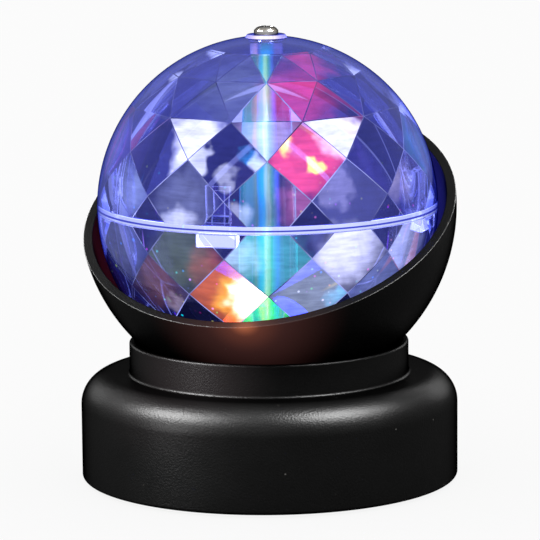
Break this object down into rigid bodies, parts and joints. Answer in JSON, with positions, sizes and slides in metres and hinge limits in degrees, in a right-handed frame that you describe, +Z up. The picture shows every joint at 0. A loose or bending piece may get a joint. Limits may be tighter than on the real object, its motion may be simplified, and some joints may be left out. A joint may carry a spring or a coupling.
{
  "type": "disco light",
  "caption": "Table disco light: a motor turns a clear faceted globe over coloured lamps in a black bowl with a slanted rim, on a round battery base.",
  "frame": {"origin": "on the table, under the globe's axis", "axes": "+Z up along the globe's axis, -Y towards the side that the bowl opens to, +X to the right as seen from that side"},
  "size_m": [0.125, 0.125, 0.1506],
  "materials": {
    "black_abs": "moulded black ABS with a fine satin grain",
    "clear_polystyrene": "clear polystyrene, polished",
    "zinc_plated_steel": "zinc plated, bright",
    "ground_steel": "ground",
    "motor_steel": "drawn and nickel plated",
    "white_acetal": "moulded, natural white",
    "brass": "turned or stamped",
    "bronze": "sintered",
    "nickel_strip": "nickel plated strip",
    "cell_sleeve": "plain printed sleeve, no marks",
    "white_board": "white solder mask",
    "green_board": "green solder mask",
    "board_parts": "moulded black epoxy",
    "switch_nylon": "moulded black nylon",
    "foot_rubber": "moulded",
    "lead_pvc": "PVC insulation",
    "red_lens": "moulded epoxy lens, lit",
    "green_lens": "moulded epoxy lens, lit",
    "blue_lens": "moulded epoxy lens, lit"
  },
  "bodies": {
    "stand": {"base_housing": "black_abs", "base_plate": "black_abs", "bowl": "black_abs", "light_deck": "black_abs", "base_screws": "zinc_plated_steel", "clamp_screws": "zinc_plated_steel", "deck_screws": "zinc_plated_steel", "motor_screws": "zinc_plated_steel", "idler_pin": "ground_steel", "motor_can": "motor_steel", "gear_plate": "white_acetal", "motor_cap": "white_acetal", "switch_terminals": "brass", "shaft_bush": "bronze", "battery_contacts": "nickel_strip", "battery_cells": "cell_sleeve", "led_board": "white_board", "driver_board": "green_board", "driver_parts": "board_parts", "switch_body": "switch_nylon", "feet": "foot_rubber", "battery_leads": "lead_pvc", "switch_lead": "lead_pvc", "motor_leads": "lead_pvc", "lamp_lead": "lead_pvc", "red_led": "red_lens", "green_led": "green_lens", "blue_led": "blue_lens"},
    "globe": {"upper_dome": "clear_polystyrene", "lower_dome": "clear_polystyrene", "centre_post": "clear_polystyrene", "top_screw": "zinc_plated_steel", "output_shaft": "ground_steel", "output_gear": "white_acetal"},
    "idler": {"idler_gear": "white_acetal"},
    "motor_rotor": {"motor_shaft": "ground_steel", "motor_pinion": "brass"},
    "rocker": {"switch_rocker": "switch_nylon"},
    "door": {"battery_door": "black_abs"}
  },
  "joints": [
    {"name": "globe_spin", "type": "hinge", "parent": "stand", "child": "globe", "pos_m": [0, 0, 0.091], "axis": [0, 0, 1], "continuous": true},
    {"name": "idler_spin", "type": "hinge", "parent": "stand", "child": "idler", "pos_m": [0.01247, 0.0072, 0.0428], "axis": [0, 0, 1], "continuous": true},
    {"name": "motor_spin", "type": "hinge", "parent": "stand", "child": "motor_rotor", "pos_m": [0, 0.0144, 0.0416], "axis": [0, 0, 1], "continuous": true},
    {"name": "rocker_press", "type": "hinge", "parent": "stand", "child": "rocker", "pos_m": [0, 0.05945, 0.017], "axis": [1, 0, 0], "range_deg": [-14, 0]},
    {"name": "door_swing", "type": "hinge", "parent": "stand", "child": "door", "pos_m": [0, -0.0008, 0.0032], "axis": [1, 0, 0], "range_deg": [0, 100]}
  ],
  "couplings": [
    {"joint": "idler_spin", "follows": "globe_spin", "ratio": -3},
    {"joint": "motor_spin", "follows": "globe_spin", "ratio": 9}
  ]
}
